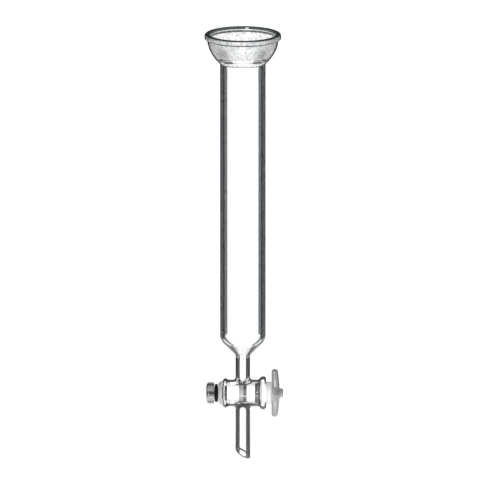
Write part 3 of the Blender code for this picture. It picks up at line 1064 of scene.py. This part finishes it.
def assemble():
    glass = glass_body()
    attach(glass, "glass")
    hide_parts("socket_joint", "column_tube", "stopcock_barrel", "drip_tip")

    plug = stopcock_plug(plug_plastic("turned_plug_plastic", FLOW_BORE))
    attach(plug, "plug")
    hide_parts("stopcock_plug")

    grey = rubber("seal_grey_rubber", (0.07, 0.07, 0.075), (0.13, 0.13, 0.135))
    seal = oval_hoop("plug_seal_ring_body", SEAL_RING, 5.3 * MM, SEAL_RING[1].y, grey)
    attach(seal, "plug")
    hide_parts("plug_seal_ring")

    # The washer is the plug's white plastic darkened to 0.72: painted shade.
    washer = keyed_washer(plug_plastic("turned_washer_plastic", shade=0.72))
    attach(washer, "plug")
    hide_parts("keyed_washer")

    handle = t_handle(moulded_plastic("handle_plastic"))
    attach(handle, "plug")
    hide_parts("t_handle")

    black = rubber("black_rubber", (0.004, 0.004, 0.004), (0.012, 0.012, 0.013))
    ring = oval_hoop("tension_ring_body", TENSION_RING, 4.65 * MM, TENSION_RING[1].y, black)
    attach(ring, "ring")
    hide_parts("tension_ring")

    nut = tension_nut(moulded_plastic("nut_plastic", grooved=True))
    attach(nut, "nut")
    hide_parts("tension_nut")


# ---------------------------------------------------------------- stage, lights and camera

# The floor, which fades out between two shares of its radius.
FLOOR_Z = cad_low.z - 0.12
FLOOR_RADIUS = 1.1
FLOOR_FADE = (0.35, 0.98)

MIDDLE = (0.0, 0.0, -0.1)

# Soft lamps: name, place, what it aims at, size, power in watts, and whether the pieces mirror it.
LAMPS = (
    ("key", (-0.4, -1.55, 0.3), MIDDLE, (0.3, 0.5), 8.5, True),
    ("high", (-0.1, -1.0, 1.0), MIDDLE, (0.4, 0.3), 4.0, False),
    ("low", (-0.02, -0.45, STOPCOCK_Z - 0.09), STOPCOCK, (0.16, 0.14), 0.35, True),
    ("back", (0.3, 1.6, 0.6), MIDDLE, (0.6, 0.8), 8.0, False),
    ("side", (1.7, 0.2, 0.4), MIDDLE, (0.4, 0.8), 1.5, False),
)

# The camera, far away with a long lens, because the drawing has no perspective.
ELEVATION = math.radians(13.0)
FRAME_HEIGHT = 0.3757
FOCAL = 1000.0
SENSOR = 36.0
FAR_CLIP = 30.0
AIM = Vector((0.0009, 0.0, RIM_Z - 0.1656))


def floor():
    """A pale round table top whose edge fades into the surroundings."""
    bm = bmesh.new()
    bmesh.ops.create_circle(bm, cap_ends=True, segments=SIDES, radius=FLOOR_RADIUS)
    bmesh.ops.translate(bm, vec=(0.0, 0.0, FLOOR_Z), verts=bm.verts)
    n = Paint("pale_floor")
    n.set(Base_Color=(0.92, 0.92, 0.92, 1.0), Roughness=0.9, Specular_IOR_Level=0.1)
    n.set(Emission_Color=(1.0, 1.0, 1.0, 1.0), Emission_Strength=0.55)
    fade = n.add(
        "ShaderNodeMapRange",
        interpolation_type="SMOOTHSTEP",
        value=n.maths("ShaderNodeVectorMath", "LENGTH", n.scaled((1.0, 1.0, 0.0))).outputs["Value"],
        from_min=FLOOR_FADE[0] * FLOOR_RADIUS,
        from_max=FLOOR_FADE[1] * FLOOR_RADIUS,
        to_min=1.0,
        to_max=0.0,
    )
    n.set(Alpha=fade.outputs["Result"])
    make_object("floor", bm, n.material)


def surroundings():
    """A white background, also through the glass. What lights and mirrors is a dim room, dark below."""
    world = bpy.data.worlds.new("studio")
    bpy.context.scene.world = world
    world.use_nodes = True
    n = Nodes(world.node_tree)
    direction = n.add("ShaderNodeTexCoord").outputs["Generated"]
    up = n.add("ShaderNodeSeparateXYZ", vector=direction).outputs["Z"]
    height = n.add("ShaderNodeMapRange", value=up, from_min=-1.0).outputs["Result"]
    room = n.tree.nodes["Background"]
    walls = n.ramp(height, (0.5, (0.03, 0.03, 0.033)), (0.9, (0.26, 0.265, 0.27)))
    n.link(walls, room.inputs["Color"])
    white = n.add("ShaderNodeBackground", strength=1.12)
    white.inputs["Color"].default_value = (1.0, 1.0, 1.0, 1.0)
    ray = n.add("ShaderNodeLightPath").outputs
    looking = n.maths("ShaderNodeMath", "MAXIMUM", ray["Is Camera Ray"], ray["Is Transmission Ray"])
    shown = n.either(looking.outputs["Value"], room.outputs["Background"], white.outputs["Background"])
    n.link(shown, n.tree.nodes["World Output"].inputs["Surface"])


def softbox(name, place, aim, size, power, mirrored):
    """A soft lamp. One that isn't mirrored leaves no streak on the glass's dark outline."""
    light = bpy.data.lights.new(name, "AREA")
    light.shape = "RECTANGLE"
    light.size, light.size_y = size
    light.energy = power
    made = bpy.data.objects.new(name, light)
    made.location = place
    made.rotation_euler = (Vector(place) - Vector(aim)).to_track_quat("Z", "Y").to_euler()
    made.visible_camera = False
    made.visible_transmission = False
    made.visible_glossy = mirrored
    bpy.context.scene.collection.objects.link(made)


def camera():
    """The photo's view: from the front, looking a little down."""
    data = bpy.data.cameras.new("view")
    data.lens = FOCAL
    data.sensor_width = SENSOR
    data.clip_end = FAR_CLIP
    made = bpy.data.objects.new("view", data)
    back = Vector((0.0, -math.cos(ELEVATION), math.sin(ELEVATION)))
    made.location = AIM + back * (FRAME_HEIGHT * FOCAL / SENSOR)
    made.rotation_euler = back.to_track_quat("Z", "Y").to_euler()
    bpy.context.scene.collection.objects.link(made)
    bpy.context.scene.camera = made


def studio():
    floor()
    surroundings()
    for values in LAMPS:
        softbox(*values)
    bpy.context.scene.view_settings.view_transform = "Standard"
    camera()


assemble()
studio()
